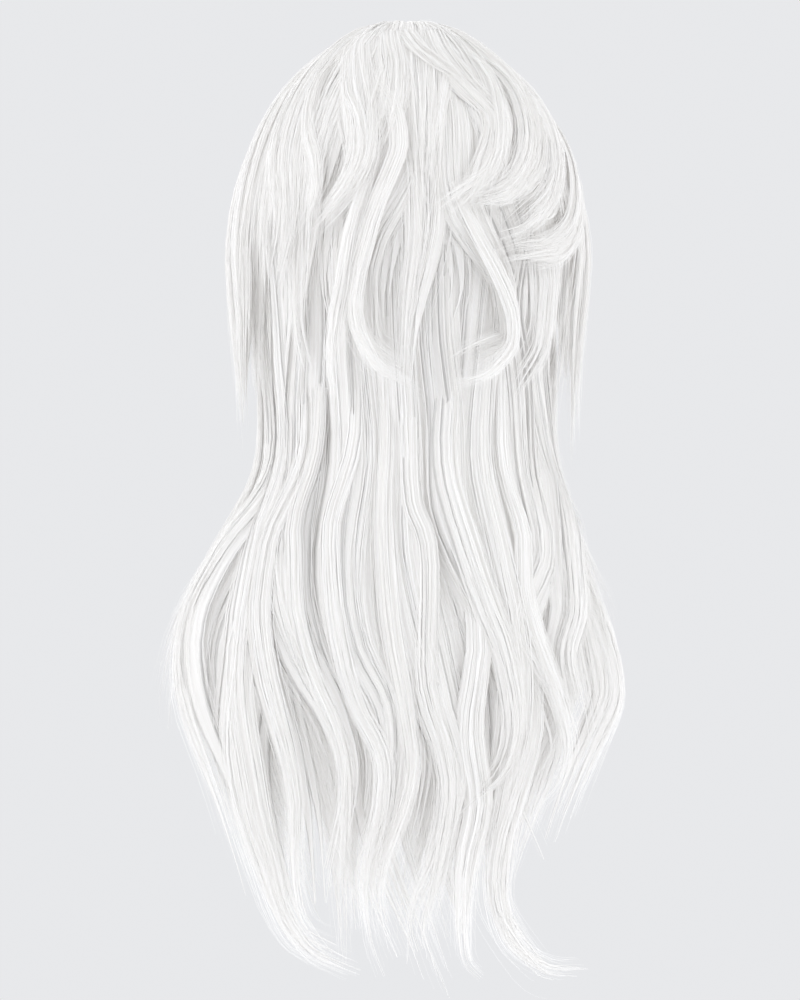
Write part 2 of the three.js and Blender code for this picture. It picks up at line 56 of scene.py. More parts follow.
# Studio: a pale blue-grey surround, a broad soft light high on either side behind the wig, weaker ones at
# its sides and in front of it, and a plain pale floor well below the held-up wig.
WIG_MIDDLE = Vector((0, 0, -0.25))
FLOOR_LEVEL = -1.3
FLOOR_RADIUS = 2.2
scene.view_settings.view_transform = "Standard"
world = bpy.data.worlds.new("surround")
scene.world = world
world.use_nodes = True
world.node_tree.nodes["Background"].inputs["Color"].default_value = (0.805, 0.812, 0.83, 1)
world.node_tree.nodes["Background"].inputs["Strength"].default_value = 1.0

for name, place, size, power in (
    ("light_left", (2.0, 1.7, 0.6), 2.8, 25),
    ("light_right", (-2.0, 1.6, 0.4), 2.8, 20),
    ("light_far_left", (2.6, 0.2, 0.3), 2.2, 12),
    ("light_far_right", (-2.6, 0.2, 0.3), 2.2, 11),
    ("light_front", (0.3, -2.1, 0.8), 1.8, 14),
):
    light = bpy.data.lights.new(name, "AREA")
    light.size = size
    light.energy = power
    lamp = bpy.data.objects.new(name, light)
    lamp.location = place
    lamp.rotation_euler = (WIG_MIDDLE - Vector(place)).to_track_quat("-Z", "Y").to_euler()
    scene.collection.objects.link(lamp)

bpy.ops.mesh.primitive_circle_add(
    vertices=64, radius=FLOOR_RADIUS, fill_type="NGON", location=(0, 0, FLOOR_LEVEL)
)
floor = bpy.context.object
floor.name = "floor"
paper = bpy.data.materials.new("paper")
paper.use_nodes = True
paper.node_tree.nodes["Principled BSDF"].inputs["Base Color"].default_value = (0.8, 0.8, 0.81, 1)
paper.node_tree.nodes["Principled BSDF"].inputs["Roughness"].default_value = 0.9
floor.data.materials.append(paper)


# The stretch net cap that carries the wefts: a close knitted net of soft beige thread, seen from inside
# through the face opening. Its weave is a pattern and a relief of small cells; the cells between the threads
# are painted a darker brown, painted shade for the depth seen through the net's holes.
def new_material(name, color, roughness):
    material = bpy.data.materials.new(name)
    material.use_nodes = True
    shader = material.node_tree.nodes["Principled BSDF"]
    shader.inputs["Base Color"].default_value = (*color, 1)
    shader.inputs["Roughness"].default_value = roughness
    return material, material.node_tree, shader


def node(tree, kind, settings=None, **inputs):
    made = tree.nodes.new(kind)
    for key, value in (settings or {}).items():
        setattr(made, key, value)
    for key, value in inputs.items():
        socket = made.inputs[int(key[1:])] if key[0] == "_" else made.inputs[key.replace("_", " ")]
        if isinstance(value, bpy.types.NodeSocket):
            tree.links.new(value, socket)
        else:
            socket.default_value = value
    return made


NET_CELLS = 700
NET_THREAD = 0.16
net_material, net_tree, net_shader = new_material("cap_net", (0.62, 0.56, 0.5), 0.9)
net_place = node(net_tree, "ShaderNodeTexCoord").outputs["Object"]
net_cells = node(
    net_tree,
    "ShaderNodeTexVoronoi",
    {"feature": "DISTANCE_TO_EDGE"},
    Vector=net_place,
    Scale=NET_CELLS,
)
# Painted shade: the open cells between the threads are coloured dark brown for the shade seen through the
# holes.
net_hole_shade_mask = node(
    net_tree,
    "ShaderNodeMath",
    {"operation": "GREATER_THAN"},
    _0=net_cells.outputs["Distance"],
    _1=NET_THREAD,
)
net_painted_hole_shade = node(
    net_tree,
    "ShaderNodeMix",
    {"data_type": "RGBA"},
    _0=net_hole_shade_mask.outputs[0],
    _6=(0.66, 0.6, 0.53, 1),
    _7=(0.42, 0.38, 0.34, 1),
)
net_tree.links.new(net_painted_hole_shade.outputs[2], net_shader.inputs["Base Color"])
net_bump = node(
    net_tree,
    "ShaderNodeBump",
    None,
    Strength=0.5,
    Distance=0.0006,
    Height=net_cells.outputs["Distance"],
)
net_tree.links.new(net_bump.outputs[0], net_shader.inputs["Normal"])
cap_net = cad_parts["cap_net"]
cap_net.data.materials.clear()
cap_net.data.materials.append(net_material)

# The edge band: a soft elastic binding folded over the net's edge round the ears and the nape, and sewn to
# it. Fine ribs run along it.
BAND_RIBS = 220
band_material, band_tree, band_shader = new_material("edge_band", (0.6, 0.53, 0.46), 0.8)
band_place = node(band_tree, "ShaderNodeTexCoord").outputs["Object"]
band_ribs = node(
    band_tree,
    "ShaderNodeTexWave",
    {"bands_direction": "Z"},
    Vector=band_place,
    Scale=BAND_RIBS,
    Distortion=0.6,
)
band_bump = node(
    band_tree,
    "ShaderNodeBump",
    None,
    Strength=0.6,
    Distance=0.0005,
    Height=band_ribs.outputs["Fac"],
)
band_tree.links.new(band_bump.outputs[0], band_shader.inputs["Normal"])
edge_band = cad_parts["edge_band"]
edge_band.data.materials.clear()
edge_band.data.materials.append(band_material)

# The inner row at the nape: white fibre sewn in a weft to the foot of the net, then hanging down the neck
# in long locks.

# Every row is built in the same way. A place on the hair is (around, fall): degrees from the middle of the
# back towards the wearer's left, and 0 at the crown, 1 at the widest level, one more for each FALL_UNIT
# below. These sizes are the cap's and the hair's own, in metres.
CAP_HALF_WIDTH = 0.08
CAP_HALF_LENGTH = 0.1015
CAP_RISE = 0.095
CAP_FALL = 0.118
CAP_OUTSIDE = 0.0016
HAIR_LENGTH = 0.597
HAIR_TOP = 0.018
HAIR_HALF_WIDTH = 0.111
HAIR_BACK = 0.13
HAIR_FRONT = 0.118
HAIR_WIDEST = 0.143
STRIP_THICKNESS = 0.0022
ROOT_RISE = 0.03
LOCK_THICKNESS = 0.007
FALL_UNIT = 0.2
NAPE_FALL = 1.375
NAPE_ANGLE = 140

# The form of the hair at even steps below its widest level: shares of the hair's sizes for its outside, and
# of the cap's for the neck side of it (in_...). rim is how far back the sides lie, and lag how much higher
# the neck side lies.
BODY = {
    "half": (1.0, 0.965, 0.92, 0.91, 1.1, 1.31, 1.4, 1.4, 1.4, 1.4, 1.4),
    "back": (1.0, 0.97, 0.91, 0.86, 0.855, 0.88, 0.9, 0.91, 0.91, 0.9, 0.89),
    "rim": (0.0, 0.0, 0.05, 0.12, 0.23, 0.31, 0.355, 0.385, 0.415, 0.445, 0.46),
    "front": (1.0, 0.95, 0.89, 0.85, 0.82, 0.81, 0.81, 0.81, 0.81, 0.81, 0.81),
    "in_half": (1.0, 1.0, 0.98, 0.95, 1.1, 1.42, 1.6, 1.66, 1.66, 1.66, 1.66),
    "in_back": (1.0, 0.9, 0.64, 0.62, 0.74, 0.87, 0.93, 0.945, 0.95, 0.95, 0.95),
    "in_rim": (0.0, 0.0, 0.02, 0.08, 0.17, 0.26, 0.32, 0.35, 0.38, 0.41, 0.43),
    "in_front": (1.0, 0.96, 0.92, 0.9, 0.9, 0.9, 0.9, 0.9, 0.9, 0.9, 0.9),
    "lag": (1.0, 0.53, 0.4, 0.13, 0, 0, 0, 0, 0, 0, 0),
}

# The layers of the hair, inside to outside: the shares of its depth between which a row lies, on the head
# and in the tail below it.
LAYERS = {
    "nape": (0.02, 0.12, 0.02, 0.15),
    "low": (0.16, 0.26, 0.25, 0.45),
    "side": (0.33, 0.43, 0.51, 0.64),
    "mid": (0.48, 0.59, 0.76, 0.97),
    "crown": (0.65, 0.78, 0.76, 0.97),
    "front": (0.62, 0.78, 0.76, 0.97),
    "cover": (0.82, 0.98, 0.82, 0.98),
    "top": (0.9, 1.08, 0.88, 1.04),
    "over": (1.02, 1.12, 0.98, 1.04),
    "wave": (0.5, 0.62, 0.97, 1.04),
}
CROWN_LIFT = 0.27
CROWN_LIFT_FROM = 0.05
CROWN_LIFT_TO = 0.4
OVER_SUNK = 0.3
OVER_RISE = 0.06
TAIL_FROM = 1.49
TAIL_FULL = 1.9
SEED = 28
FINE_STEPS = 240
FEWEST_STATIONS = 8
STATION_STEP = 0.024
STATION_BEND = 0.3
CHART_STEP = 0.01


def lerp(a, b, t):
    return a + (b - a) * t


def clamp(x, low, high):
    return max(low, min(high, x))


def smooth(x, low, high):
    t = clamp((x - low) / (high - low), 0, 1)
    return t * t * (3 - 2 * t)


def spline(values, at):
    last = len(values) - 1
    i = min(int(at), last - 1)
    t = at - i
    a, b, c, d = (values[clamp(k, 0, last)] for k in (i - 1, i, i + 1, i + 2))
    return (b * 2 + (c - a) * t + (a * 2 - b * 5 + c * 4 - d) * t * t + (b * 3 - a - c * 3 + d) * t**3) * 0.5


def body_at(column, fall):
    values = BODY[column]
    last = len(values) - 1
    return spline(values, clamp((fall - 1) * FALL_UNIT * last / (HAIR_LENGTH - HAIR_WIDEST), 0, last))


def level(around, half, back, rim, front, z):
    side = math.sin(math.radians(around))
    rear = math.cos(math.radians(around))
    return Vector((half * side, rim + (back - rim if rear > 0 else front + rim) * rear, z))


def cap_point(around, angle, grow):
    wide = math.sin(math.radians(angle))
    high = math.cos(math.radians(angle))
    z = ((CAP_RISE if high > 0 else CAP_FALL) + grow) * high - CAP_RISE
    length = (CAP_HALF_LENGTH + grow) * wide
    return level(around, (CAP_HALF_WIDTH + grow) * wide, length, 0, length, z)


def cap_angle(fall):
    return 90 * fall if fall < 1 else 90 + (NAPE_ANGLE - 90) * (fall - 1) / (NAPE_FALL - 1)


def outside_point(around, fall):
    turn = min(fall, 1) * math.pi / 2
    wide = math.sin(turn)
    z = HAIR_TOP - HAIR_WIDEST * (1 - math.cos(turn)) - max(fall - 1, 0) * FALL_UNIT
    half, back, rim, front = (body_at(c, fall) for c in ("half", "back", "rim", "front"))
    depths = (HAIR_BACK * back * wide, HAIR_BACK * rim * wide, HAIR_FRONT * front * wide)
    return level(around, HAIR_HALF_WIDTH * half * wide, *depths, z)


def neck_point(around, fall):
    on_cap = cap_point(around, cap_angle(fall), CAP_OUTSIDE)
    if fall <= 1:
        return on_cap
    half, back, rim, front = (body_at(c, fall) for c in ("in_half", "in_back", "in_rim", "in_front"))
    width = CAP_HALF_WIDTH + CAP_OUTSIDE
    length = CAP_HALF_LENGTH + CAP_OUTSIDE
    lag = body_at("lag", fall) * (HAIR_WIDEST - HAIR_TOP - CAP_RISE)
    drop = HAIR_TOP - HAIR_WIDEST - (fall - 1) * FALL_UNIT + lag
    free = level(around, width * half, length * back, length * rim, length * front, drop)
    return on_cap.lerp(free, smooth(fall, 1, NAPE_FALL))


def hair_point(place, share, hug):
    around, fall = place
    inside = neck_point(around, fall)
    if hug > 0:
        inside = inside.lerp(cap_point(around, cap_angle(fall), CAP_OUTSIDE), hug)
    return inside.lerp(outside_point(around, fall), share)


def chart(place):
    turn = math.radians(place[0])
    return Vector((math.sin(turn), math.cos(turn))) * place[1]


def unchart(p):
    return math.degrees(math.atan2(p.x, p.y)), p.length


def beside(p, step):
    around, fall = unchart(p)
    out = p.normalized()
    turned = around + math.degrees(step.dot(Vector((out.y, -out.x))) / max(fall, 1e-3))
    return (p + step).lerp(chart((turned, fall + step.dot(out))), smooth(fall, 0.2, 1))


def stations(layer, route, width, flick, rise_by):
    """The frame of a lock at stations along it, closer together where it bends: the share of its length,
    its middle on the chart, the chart's step for one metre across, its half width, the inner and outer
    share of its layer, and how far it hugs the cap."""
    points = [chart(place) for place in route]
    fine = [spline(points, (len(points) - 1) * k / FINE_STEPS) for k in range(FINE_STEPS + 1)]
    space = [outside_point(*unchart(p)) for p in fine]
    run = [0]
    cost = [0]
    for k in range(1, FINE_STEPS + 1):
        piece = (space[k] - space[k - 1]).length
        bend = 0
        if 1 < k < FINE_STEPS and piece > 1e-6:
            bend = (space[k] - space[k - 1]).angle(space[k + 1] - space[k], 0)
        run.append(run[-1] + piece)
        cost.append(cost[-1] + piece / STATION_STEP + bend / STATION_BEND)
    count = max(FEWEST_STATIONS, round(cost[-1]))
    found = []
    k = 0
    for i in range(count + 1):
        wanted = cost[-1] * i / count
        while k < FINE_STEPS - 1 and cost[k + 1] < wanted:
            k += 1
        share = clamp((wanted - cost[k]) / max(cost[k + 1] - cost[k], 1e-9), 0, 1)
        middle = fine[k].lerp(fine[k + 1], share)
        distance = lerp(run[k], run[k + 1], share)
        place = unchart(middle)
        t = distance / run[-1]
        rise = smooth(distance, 0, rise_by) if rise_by else 1
        tail = smooth(place[1], TAIL_FROM, TAIL_FULL)
        depth = (hair_point(place, 0, 1 - rise) - hair_point(place, 1, 1 - rise)).length
        low, high, tail_low, tail_high = LAYERS[layer]
        low, high = lerp(low, tail_low, tail), lerp(high, tail_high, tail)
        thick = min((high - low) * depth, LOCK_THICKNESS)
        if layer in ("cover", "top", "over"):
            high += CROWN_LIFT * (1 - smooth(place[1], CROWN_LIFT_FROM, CROWN_LIFT_TO))
        if layer in ("over", "wave"):
            high -= OVER_SUNK * (1 - smooth(distance, 0, OVER_RISE))
        outer = lerp(STRIP_THICKNESS * 0.75 / depth, high, rise) + flick * smooth(t, 0.75, 1)
        inner = outer - lerp(STRIP_THICKNESS / 2, thick, rise) / depth
        way = (fine[k + 1] - fine[k]).normalized() * CHART_STEP
        cross = Vector((-way.y, way.x))
        mean = (inner + outer) / 2
        here = hair_point(place, mean, 1 - rise)
        ahead = hair_point(unchart(beside(middle, way)), mean, 1 - rise) - here
        across = hair_point(unchart(beside(middle, cross)), mean, 1 - rise) - here
        slant = across.dot(ahead) / ahead.length_squared
        turn = (cross - way * slant) / (across - ahead * slant).length
        half = width * lerp(0.66, 1, smooth(t, 0, 0.4)) / 2
        found.append((t, middle, turn, half, inner, outer, 1 - rise))
    return found


# How the wisps of a lock vary: how far they are drawn to its middle at the tip, how far and how often they
# swing aside, how much their tips curl, where they end along the lock, and how wide they are.
DRAWN = (0.4, 0.85)
WANDER = (0.02, 0.16)
LOOSE_WANDER = (0.15, 0.4)
SWINGS = (0.6, 1.4)
TIP_CURL = (-0.06, 0.12)
END = (0.88, 1.0)
WIDENED = (0.9, 1.7)
LOOSE_EVERY = 4
LOOSE_LIFT = 0.14
LOOSE_WIDTH = 0.6
WISP_HALF_THICKNESS = 0.0005
TAPER_FROM = 0.55


def wisps(layer, locks, per_lock, seed, rise_by, under=False):
    """Guides for the wisps of a row. Side by side they make each lock crowned; a few lie loose on top. An
    under wisp keeps low, to fill between two locks. A guide is a list of (place, side, out, half width, half
    thickness, spread)."""
    dice = random.Random(SEED + seed)
    guides = []
    for route, width, flick in locks:
        frames = stations(layer, route, width, flick, rise_by)
        for n in range(per_lock):
            loose = not under and n % LOOSE_EVERY == LOOSE_EVERY - 1
            aside = ((2 * n + 1) / per_lock - 1) * 0.92 + dice.uniform(-0.6, 0.6) / per_lock
            if under:
                height = dice.uniform(-0.6, -0.1)
            else:
                height = 0.95 - 0.9 * aside * aside + dice.uniform(-0.1, 0.1)
            tilt = dice.uniform(-0.1, 0.1) - (0 if under else 0.5 * aside)
            drawn = dice.uniform(*DRAWN)
            wander = dice.uniform(*(LOOSE_WANDER if loose else WANDER))
            phase = dice.uniform(0, 2 * math.pi)
            swings = dice.uniform(*SWINGS)
            curl = dice.uniform(*TIP_CURL)
            end = dice.uniform(*END)
            half_width = width / per_lock * dice.uniform(*WIDENED)
            if loose:
                height += LOOSE_LIFT
                half_width *= LOOSE_WIDTH
            last = max(6, round(end * (len(frames) - 1)))
            reach = frames[last][0]
            guide = []
            for t, middle, turn, half, inner, outer, hug in frames[: last + 1]:
                s = t / reach
                swing = wander * math.sin(swings * 2 * math.pi * s + phase) * s
                off = aside * (1 - drawn * smooth(s, 0.45, 1)) + swing
                share = lerp(inner, outer, height) + curl * smooth(s, 0.75, 1)
                place = unchart(beside(middle, turn * (off * half)))
                left = unchart(beside(middle, turn * (off * half + 0.002)))
                here = hair_point(place, share, hug)
                guide.append([here, (hair_point(left, share, hug) - here).normalized(), s])
            full = []
            for i, (here, side, s) in enumerate(guide):
                ahead = guide[min(i + 1, last)][0] - guide[max(i - 1, 0)][0]
                out = side.cross(ahead).normalized()
                place = unchart(frames[i][1])
                if out.dot(outside_point(*place) - neck_point(*place)) < 0:
                    out = -out
                start = lerp(0.7, 1, smooth(s, 0, 0.2))
                taper = lerp(1, 0.03, smooth(s, TAPER_FROM, 1)) * start
                spread = half_width * lerp(1, 0.7, smooth(s, TAPER_FROM, 1)) * start
                side, out = (side + out * tilt).normalized(), (out - side * tilt).normalized()
                full.append((here, side, out, half_width * taper, WISP_HALF_THICKNESS * taper, spread))
            guides.append(full)
    return guides


BETWEEN_LENGTH = 0.86
BETWEEN_STEPS = 8


def between(locks):
    """The routes halfway between neighbouring locks, a little shorter than they are."""
    made = []
    for (left, left_width, _), (right, right_width, _) in zip(locks, locks[1:]):
        sides = []
        for route in (left, right):
            points = [chart(place) for place in route]
            reach = (len(points) - 1) * BETWEEN_LENGTH
            sides.append([spline(points, reach * k / BETWEEN_STEPS) for k in range(BETWEEN_STEPS + 1)])
        route = [unchart((a + b) / 2) for a, b in zip(*sides)]
        made.append((route, (left_width + right_width) / 2, 0))
    return made


# What a guide's points carry beside their place, in the order of the guide's tuples
GUIDE_FIELDS = (
    ("side", "FLOAT_VECTOR"),
    ("out", "FLOAT_VECTOR"),
    ("half", "FLOAT"),
    ("thick", "FLOAT"),
    ("spread", "FLOAT"),
)


def guide_mesh(name, guides):
    mesh = bpy.data.meshes.new(name + "_guides")
    points = [p for guide in guides for p in guide]
    edges = []
    start = 0
    for guide in guides:
        edges += [(start + i, start + i + 1) for i in range(len(guide) - 1)]
        start += len(guide)
    mesh.from_pydata([p[0] for p in points], edges, [])
    for column, (key, kind) in enumerate(GUIDE_FIELDS, 1):
        attribute = mesh.attributes.new(key, kind, "POINT")
        field = "vector" if kind == "FLOAT_VECTOR" else "value"
        for datum, point in zip(attribute.data, points):
            setattr(datum, field, point[column])
    return mesh


# The strands of a wisp: how far they spread across it, how far they stray at the tip and how far a few fly
# away, the share that lies on its inner face, how high they lie on it, their ripple, and their ends.
STRAND_SPREAD = 1.15
STRAY = 0.003
FLYAWAY = 0.01
INNER_STRANDS = 0.22
STRAND_LEAST_LIFT = 0.0002
STRAND_LIFT = 0.0009
TIP_LIFT = 0.002
RIPPLE = 0.04
RIPPLE_SCALE = 14.0
STRAND_SHORTEST = 0.82
STRAND_THINNED = 0.85


def hair_tree():
    """A geometry tree that turns guides into wisps, each a flat body under a scatter of strands. A strand is
    a thin ribbon that narrows to its tip."""
    tree = bpy.data.node_groups.new("hair", "GeometryNodeTree")
    for label, kind, direction, value in (
        ("Guides", "NodeSocketGeometry", "INPUT", None),
        ("Strands", "NodeSocketInt", "INPUT", 8),
        ("Radius", "NodeSocketFloat", "INPUT", 0.0002),
        ("Loose", "NodeSocketFloat", "INPUT", 0.25),
        ("Seed", "NodeSocketInt", "INPUT", 1),
        ("Material", "NodeSocketMaterial", "INPUT", None),
        ("Hair", "NodeSocketGeometry", "OUTPUT", None),
    ):
        socket = tree.interface.new_socket(label, in_out=direction, socket_type=kind)
        if value is not None:
            socket.default_value = value
    given = tree.nodes.new("NodeGroupInput").outputs
    result = tree.nodes.new("NodeGroupOutput")

    def named(label, kind):
        found = node(tree, "GeometryNodeInputNamedAttribute", {"data_type": kind}, Name=label)
        return next(s for s in found.outputs if s.enabled and s.name == "Attribute")

    def math_node(operation, a, b=0.0, c=0.0):
        return node(tree, "ShaderNodeMath", {"operation": operation}, _0=a, _1=b, _2=c).outputs[0]

    def scaled(vector, factor):
        return node(tree, "ShaderNodeVectorMath", {"operation": "SCALE"}, _0=vector, Scale=factor).outputs[0]

    def added(a, b):
        return node(tree, "ShaderNodeVectorMath", {"operation": "ADD"}, _0=a, _1=b).outputs[0]

    def chance(low, high, ident, salt):
        seed = math_node("ADD", given["Seed"], salt)
        kind = {"data_type": "FLOAT"}
        return node(tree, "FunctionNodeRandomValue", kind, _2=low, _3=high, ID=ident, Seed=seed).outputs[1]

    side, out = named("side", "FLOAT_VECTOR"), named("out", "FLOAT_VECTOR")
    half, thick, spread = named("half", "FLOAT"), named("thick", "FLOAT"), named("spread", "FLOAT")
    curves = node(tree, "GeometryNodeMeshToCurve", None, Mesh=given["Guides"]).outputs[0]

    centre = tree.nodes.new("GeometryNodeCaptureAttribute")
    centre.capture_items.new("VECTOR", "centre")
    centre.capture_items.new("FLOAT", "tone")
    which = node(tree, "GeometryNodeCurveOfPoint").outputs[0]
    tree.links.new(curves, centre.inputs[0])
    tree.links.new(node(tree, "GeometryNodeInputPosition").outputs[0], centre.inputs[1])
    tree.links.new(chance(0.0, 1.0, which, 8), centre.inputs[2])
    ring = node(tree, "GeometryNodeCurvePrimitiveCircle", None, Resolution=6, Radius=1.0).outputs[0]
    corner = tree.nodes.new("GeometryNodeCaptureAttribute")
    corner.capture_items.new("VECTOR", "corner")
    tree.links.new(ring, corner.inputs[0])
    tree.links.new(node(tree, "GeometryNodeInputPosition").outputs[0], corner.inputs[1])
    flesh = node(tree, "GeometryNodeCurveToMesh", None, _0=centre.outputs[0], _1=corner.outputs[0])
    flesh.inputs["Fill Caps"].default_value = True
    xy = node(tree, "ShaderNodeSeparateXYZ", None, _0=corner.outputs[1])
    offset = added(
        scaled(side, math_node("MULTIPLY", xy.outputs[0], half)),
        scaled(out, math_node("MULTIPLY", xy.outputs[1], thick)),
    )
    body = node(
        tree,
        "GeometryNodeSetPosition",
        None,
        Geometry=flesh.outputs[0],
        Position=added(centre.outputs[1], offset),
    ).outputs[0]
    across = math_node("MULTIPLY", xy.outputs[0], half)
    lay = node(tree, "ShaderNodeCombineXYZ", None, X=across, Y=centre.outputs[2]).outputs[0]
    body = node(
        tree,
        "GeometryNodeStoreNamedAttribute",
        {"data_type": "FLOAT_VECTOR", "domain": "POINT"},
        Geometry=body,
        Name="lay",
        Value=lay,
    ).outputs[0]

    copies = node(
        tree,
        "GeometryNodeDuplicateElements",
        {"domain": "SPLINE"},
        Geometry=curves,
        Amount=given["Strands"],
    )
    along = node(tree, "GeometryNodeSplineParameter").outputs[0]
    near_tip = math_node("POWER", along, 2.0)
    across = chance(-STRAND_SPREAD, STRAND_SPREAD, which, 1)
    rare = math_node("POWER", chance(0.0, 1.0, which, 9), 10.0)
    wild = math_node("MULTIPLY_ADD", rare, FLYAWAY, STRAY)
    stray = math_node("MULTIPLY", chance(-1.0, 1.0, which, 2), math_node("MULTIPLY", near_tip, wild))
    inner = math_node("LESS_THAN", chance(0.0, 1.0, which, 11), INNER_STRANDS)
    facing = math_node("MULTIPLY_ADD", inner, -2.0, 1.0)
    lifted = math_node("MULTIPLY_ADD", chance(0.0, 1.0, which, 3), STRAND_LIFT, STRAND_LEAST_LIFT)
    height = math_node("MULTIPLY", facing, lifted)
    lift = math_node("MULTIPLY", chance(-0.3, 1.0, which, 4), math_node("MULTIPLY", near_tip, TIP_LIFT))
    wave = node(
        tree,
        "ShaderNodeTexNoise",
        {"noise_dimensions": "4D"},
        Vector=node(tree, "GeometryNodeInputPosition").outputs[0],
        W=chance(0.0, 90.0, which, 5),
        Scale=RIPPLE_SCALE,
        Detail=1.0,
    )
    centred = node(
        tree,
        "ShaderNodeVectorMath",
        {"operation": "SUBTRACT"},
        _0=wave.outputs["Color"],
        _1=(0.5, 0.5, 0.5),
    )
    swell = math_node("MULTIPLY", along, RIPPLE)
    ripple = scaled(centred.outputs[0], math_node("MULTIPLY", given["Loose"], swell))
    shift = added(
        added(
            scaled(side, math_node("MULTIPLY_ADD", across, spread, stray)),
            scaled(out, math_node("ADD", height, lift)),
        ),
        ripple,
    )
    moved = node(tree, "GeometryNodeSetPosition", None, Geometry=copies.outputs[0], Offset=shift).outputs[0]
    cut = node(
        tree,
        "GeometryNodeTrimCurve",
        {"mode": "FACTOR"},
        Curve=moved,
        Start=0.0,
        End=chance(STRAND_SHORTEST, 1.0, node(tree, "GeometryNodeInputIndex").outputs[0], 6),
    ).outputs[0]
    thinned = math_node("MULTIPLY", math_node("POWER", along, 3.0), STRAND_THINNED)
    thin = math_node("SUBTRACT", 1.0, thinned)
    held = tree.nodes.new("GeometryNodeCaptureAttribute")
    held.capture_items.new("VECTOR", "centre")
    held.capture_items.new("VECTOR", "blade")
    held.capture_items.new("FLOAT", "tone")
    tree.links.new(cut, held.inputs[0])
    tree.links.new(node(tree, "GeometryNodeInputPosition").outputs[0], held.inputs[1])
    turned = added(side, scaled(out, chance(-0.6, 0.6, which, 10)))
    girth = math_node("MULTIPLY", thin, given["Radius"])
    tree.links.new(scaled(turned, girth), held.inputs[2])
    tree.links.new(chance(0.0, 1.0, which, 7), held.inputs[3])
    line = node(tree, "GeometryNodeCurvePrimitiveLine", None, Start=(-1, 0, 0), End=(1, 0, 0)).outputs[0]
    edge = tree.nodes.new("GeometryNodeCaptureAttribute")
    edge.capture_items.new("VECTOR", "edge")
    tree.links.new(line, edge.inputs[0])
    tree.links.new(node(tree, "GeometryNodeInputPosition").outputs[0], edge.inputs[1])
    ribbons = node(tree, "GeometryNodeCurveToMesh", None, _0=held.outputs[0], _1=edge.outputs[0]).outputs[0]
    reach = node(tree, "ShaderNodeSeparateXYZ", None, _0=edge.outputs[1]).outputs[0]
    threads = node(
        tree,
        "GeometryNodeSetPosition",
        None,
        Geometry=ribbons,
        Position=added(held.outputs[1], scaled(held.outputs[2], reach)),
    ).outputs[0]
    threads = node(
        tree,
        "GeometryNodeStoreNamedAttribute",
        {"data_type": "FLOAT_VECTOR", "domain": "POINT"},
        Geometry=threads,
        Name="lay",
        Value=node(tree, "ShaderNodeCombineXYZ", None, X=0.0, Y=held.outputs[3], Z=1.0).outputs[0],
    ).outputs[0]

    joined = tree.nodes.new("GeometryNodeJoinGeometry")
    tree.links.new(threads, joined.inputs[0])
    tree.links.new(body, joined.inputs[0])
    real = node(tree, "GeometryNodeRealizeInstances", None, Geometry=joined.outputs[0]).outputs[0]
    final = node(tree, "GeometryNodeSetMaterial", None, Geometry=real, Material=given["Material"])
    tree.links.new(final.outputs[0], result.inputs[0])
    return tree


def hair_material(name, light, dark):
    """White fibre: fine streaks run along each wisp and tint it a little, each strand has its own tint, and
    part of the light passes through, so that the hair under it stays light. A faint warm glow is painted into
    all of it, painted light that lifts its shade and warms the darks."""
    material, tree, shader = new_material(name, light, 0.45)
    lay = node(tree, "ShaderNodeAttribute", {"attribute_name": "lay"}).outputs["Vector"]
    parts = node(tree, "ShaderNodeSeparateXYZ", None, _0=lay)
    height = node(
        tree,
        "ShaderNodeSeparateXYZ",
        None,
        _0=node(tree, "ShaderNodeTexCoord").outputs["Object"],
    ).outputs[2]
    along = node(tree, "ShaderNodeMath", {"operation": "MULTIPLY"}, _0=height, _1=0.012).outputs[0]
    across, tone, strand = parts.outputs
    grain = node(tree, "ShaderNodeCombineXYZ", None, X=across, Y=tone, Z=along).outputs[0]
    streaks = node(tree, "ShaderNodeTexNoise", None, Vector=grain, Scale=900.0, Detail=3.0).outputs["Fac"]
    pick = node(
        tree,
        "ShaderNodeMix",
        {"data_type": "FLOAT"},
        _0=strand,
        _2=streaks,
        _3=tone,
    ).outputs[0]
    tint = node(
        tree,
        "ShaderNodeMix",
        {"data_type": "RGBA"},
        _0=node(tree, "ShaderNodeMapRange", None, Value=pick, _1=0.3, _2=0.7).outputs[0],
        _6=(*dark, 1),
        _7=(*light, 1),
    ).outputs[2]
    tree.links.new(tint, shader.inputs["Base Color"])
    bump = node(tree, "ShaderNodeBump", None, Strength=0.25, Distance=0.0004, Height=streaks).outputs[0]
    tree.links.new(bump, shader.inputs["Normal"])
    # Painted light: a faint warm emission makes all the hair glow a little, lifting its shade and warming the
    # darks.
    shader.inputs["Emission Color"].default_value = (1, 0.97, 0.94, 1)
    shader.inputs["Emission Strength"].default_value = 0.085
    glow = node(tree, "ShaderNodeBsdfTranslucent", None, Color=tint)
    mixed = node(tree, "ShaderNodeMixShader", None, _0=0.4, _1=shader.outputs[0], _2=glow.outputs[0])
    tree.links.new(mixed.outputs[0], tree.nodes["Material Output"].inputs["Surface"])
    return material


def grown(name, lines, tree, values):
    """A plain piece that a geometry tree makes of a mesh of lines, with the tree's named inputs set."""
    source = bpy.data.objects.new(name + "_source", lines)
    scene.collection.objects.link(source)
    modifier = source.modifiers.new("tree", "NODES")
    modifier.node_group = tree
    for item in tree.interface.items_tree:
        if item.item_type == "SOCKET" and item.in_out == "INPUT" and item.name in values:
            modifier[item.identifier] = values[item.name]
    bpy.context.view_layer.update()
    graph = bpy.context.evaluated_depsgraph_get()
    made = bpy.data.meshes.new_from_object(source.evaluated_get(graph), depsgraph=graph)
    bpy.data.objects.remove(source)
    piece = bpy.data.objects.new(name, made)
    scene.collection.objects.link(piece)
    return piece


HAIR_TREE = hair_tree()
WHITE_HAIR = hair_material("white_hair", (0.97, 0.97, 0.97), (0.9, 0.895, 0.885))
STRAND_RADIUS = 0.00024
STRAND_LOOSE = 0.2
THIN_LOCK_WISPS = 4
FILL_SEED = 20
COVER_SEED = 40
OVER_SEED = 60


